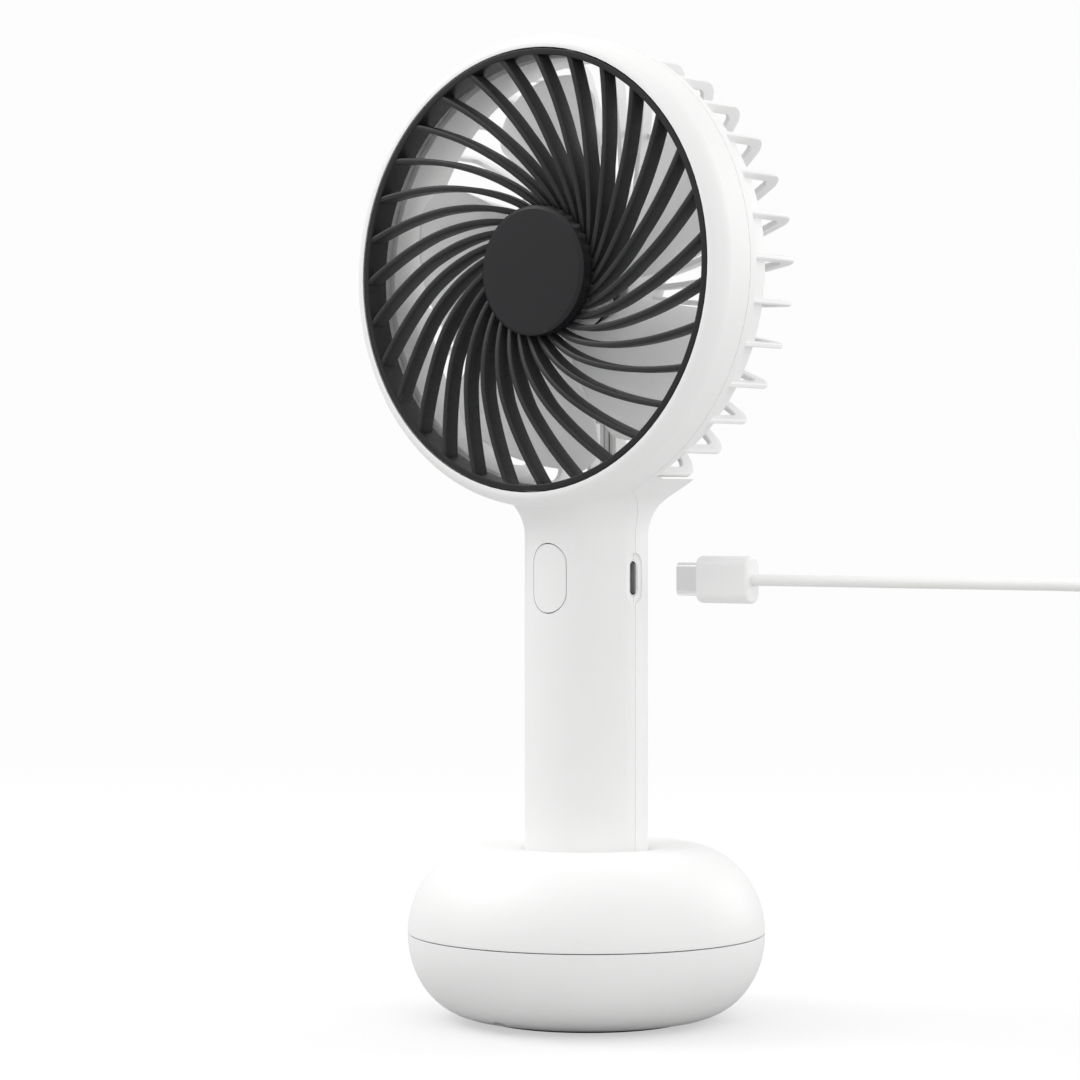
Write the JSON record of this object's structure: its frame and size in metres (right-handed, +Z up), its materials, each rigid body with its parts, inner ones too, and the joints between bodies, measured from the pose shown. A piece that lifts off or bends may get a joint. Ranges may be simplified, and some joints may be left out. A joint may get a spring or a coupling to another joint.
{
  "type": "handheld electric fan",
  "caption": "Rechargeable handheld fan with a round caged head and round handle, standing in a rounded desk base, with its charging lead beside the port.",
  "frame": {"origin": "on the table under the handle's axis, at the centre of the base's foot", "axes": "+Z up along the handle, -Y out of the front grille, +X towards the charging port's side"},
  "size_m": [0.2426, 0.1313, 0.2468],
  "materials": {
    "shell_white": "fine matte white moulding",
    "grille_dark": "fine matte charcoal moulding",
    "cap_dark": "smooth satin charcoal disc",
    "impeller_grey": "smooth translucent white moulding",
    "button_white": "smooth white cap",
    "black_plastic": "moulded black",
    "rubber_grey": "soft grey rubber",
    "foam_grey": "soft foam",
    "steel": "plain steel",
    "weight_iron": "cast ballast",
    "magnet": "ferrite",
    "bronze": "sintered bearing bronze",
    "laminations": "stacked laminations",
    "copper": "enamelled copper",
    "cell_wrap": "shrink wrap on a cell",
    "wire_white": "wire insulation",
    "wire_black": "wire insulation",
    "board_green": "solder mask",
    "chip_black": "moulded chips",
    "lead_white": "soft white jacket",
    "lead_mould": "soft white overmould"
  },
  "bodies": {
    "base": {"base_lower_shell": "shell_white", "base_upper_shell": "shell_white", "base_weight": "weight_iron", "base_foot_ring": "rubber_grey", "base_screws": "steel", "socket_pad": "rubber_grey"},
    "fan": {"handle_end_cap": "shell_white", "front_shell": "shell_white", "rear_shell": "shell_white", "shell_screws": "steel", "rear_grille": "shell_white", "motor_can": "steel", "motor_end_cap": "black_plastic", "motor_magnets": "magnet", "motor_bearings": "bronze", "motor_retainer": "black_plastic", "motor_screws": "steel", "motor_wires": "wire_white", "battery_cell": "cell_wrap", "battery_tabs": "steel", "battery_pads": "foam_grey", "battery_wires": "wire_black", "circuit_board": "board_green", "board_components": "chip_black", "usb_receptacle": "steel", "usb_tongue": "black_plastic", "tact_switch": "black_plastic"},
    "impeller": {"impeller": "impeller_grey", "motor_shaft": "steel", "motor_armature": "laminations", "motor_windings": "copper", "motor_commutator": "copper"},
    "grille": {"front_grille": "grille_dark", "grille_cap": "cap_dark"},
    "button": {"button_cap": "button_white", "switch_plunger": "button_white"},
    "lead": {"plug_shell": "steel", "plug_overmould": "lead_mould", "lead_cord": "lead_white", "lead_coil": "lead_white", "lead_tie": "black_plastic", "lead_tail": "lead_white", "far_plug_body": "lead_mould", "far_plug_shell": "steel", "far_plug_tongue": "black_plastic"}
  },
  "joints": [
    {"name": "fan_lift", "type": "slide", "parent": "base", "child": "fan", "axis": [0, 0, 1], "range_m": [0, 0.045]},
    {"name": "impeller_spin", "type": "hinge", "parent": "fan", "child": "impeller", "pos_m": [0, 0, 0.188], "axis": [0, -1, 0], "continuous": true},
    {"name": "grille_twist", "type": "hinge", "parent": "fan", "child": "grille", "pos_m": [0, 0, 0.188], "axis": [0, -1, 0], "range_deg": [0, 11]},
    {"name": "button_press", "type": "slide", "parent": "fan", "child": "button", "axis": [0, 1, 0], "range_m": [0, 0.0008], "stiffness_N_per_m": 1500},
    {"name": "plug_insert", "type": "slide", "parent": "fan", "child": "lead", "axis": [-1, 0, 0], "range_m": [0, 0.0202]}
  ]
}
